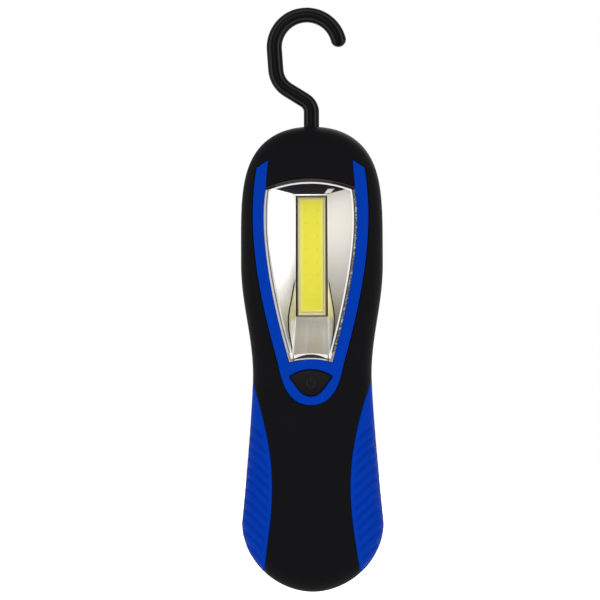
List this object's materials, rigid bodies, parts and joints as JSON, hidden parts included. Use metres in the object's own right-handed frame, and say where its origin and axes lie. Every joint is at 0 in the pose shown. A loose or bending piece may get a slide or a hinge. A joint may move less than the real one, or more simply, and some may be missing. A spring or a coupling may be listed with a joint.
{
  "type": "work light",
  "caption": "Hand-held strip work light with a swivel hook, a push button, side grips, a sliding battery door and a magnet in its flat back.",
  "frame": {"origin": "centre of the magnet's exposed face, in the flat back", "axes": "+Z along the light towards the hook, +Y out of the back, -Y the way the light shines, +X to the right seen from the front"},
  "size_m": [0.061, 0.0317, 0.2514],
  "materials": {
    "body_black": "soft-touch matt black",
    "trim_blue": "satin blue",
    "grip_blue": "matt blue, ribbed",
    "clear_lens": "clear plastic",
    "bright_reflector": "bright metallised plastic",
    "board_cream": "cream solder mask on aluminium",
    "phosphor_yellow": "yellow silicone phosphor",
    "chip_grey": "small dark chips",
    "dark_aluminium": "dark anodised",
    "button_black": "matt black",
    "switch_grey": "plain",
    "board_green": "green solder mask",
    "component_dark": "plain",
    "screw_steel": "zinc plated",
    "hook_black": "black coating",
    "tray_black": "plain black",
    "contact_metal": "nickel plated",
    "cell_wrap": "plain dark wrap",
    "magnet_steel": "nickel plated",
    "wire_red": "red sleeve",
    "wire_black": "black sleeve"
  },
  "bodies": {
    "housing": {"front_shell": "body_black", "rear_shell": "body_black", "bezel": "trim_blue", "grip_left": "grip_blue", "grip_right": "grip_blue", "lens": "clear_lens", "reflector": "bright_reflector", "led_board": "board_cream", "led_phosphor": "phosphor_yellow", "led_chips": "chip_grey", "heat_sink": "dark_aluminium", "switch_body": "switch_grey", "driver_board": "board_green", "driver_parts": "component_dark", "inner_screws": "screw_steel", "battery_tray": "tray_black", "contact_plates": "contact_metal", "contact_springs": "contact_metal", "battery_left": "cell_wrap", "battery_middle": "cell_wrap", "battery_right": "cell_wrap", "magnet": "magnet_steel", "magnet_cup": "magnet_steel", "casing_screws": "screw_steel", "wire_red": "wire_red", "wire_black": "wire_black"},
    "hook": {"hook": "hook_black"},
    "button": {"button": "button_black", "switch_plunger": "switch_grey"},
    "battery_door": {"battery_door": "body_black"}
  },
  "joints": [
    {"name": "hook_swivel", "type": "hinge", "parent": "housing", "child": "hook", "pos_m": [0, -0.015, 0.05], "axis": [0, 0, 1], "continuous": true},
    {"name": "button_press", "type": "slide", "parent": "housing", "child": "button", "axis": [0, 1, 0], "range_m": [0, 0.001], "stiffness_N_per_m": 1500},
    {"name": "door_slide", "type": "slide", "parent": "housing", "child": "battery_door", "axis": [0, 0, -1], "range_m": [0, 0.08]}
  ]
}
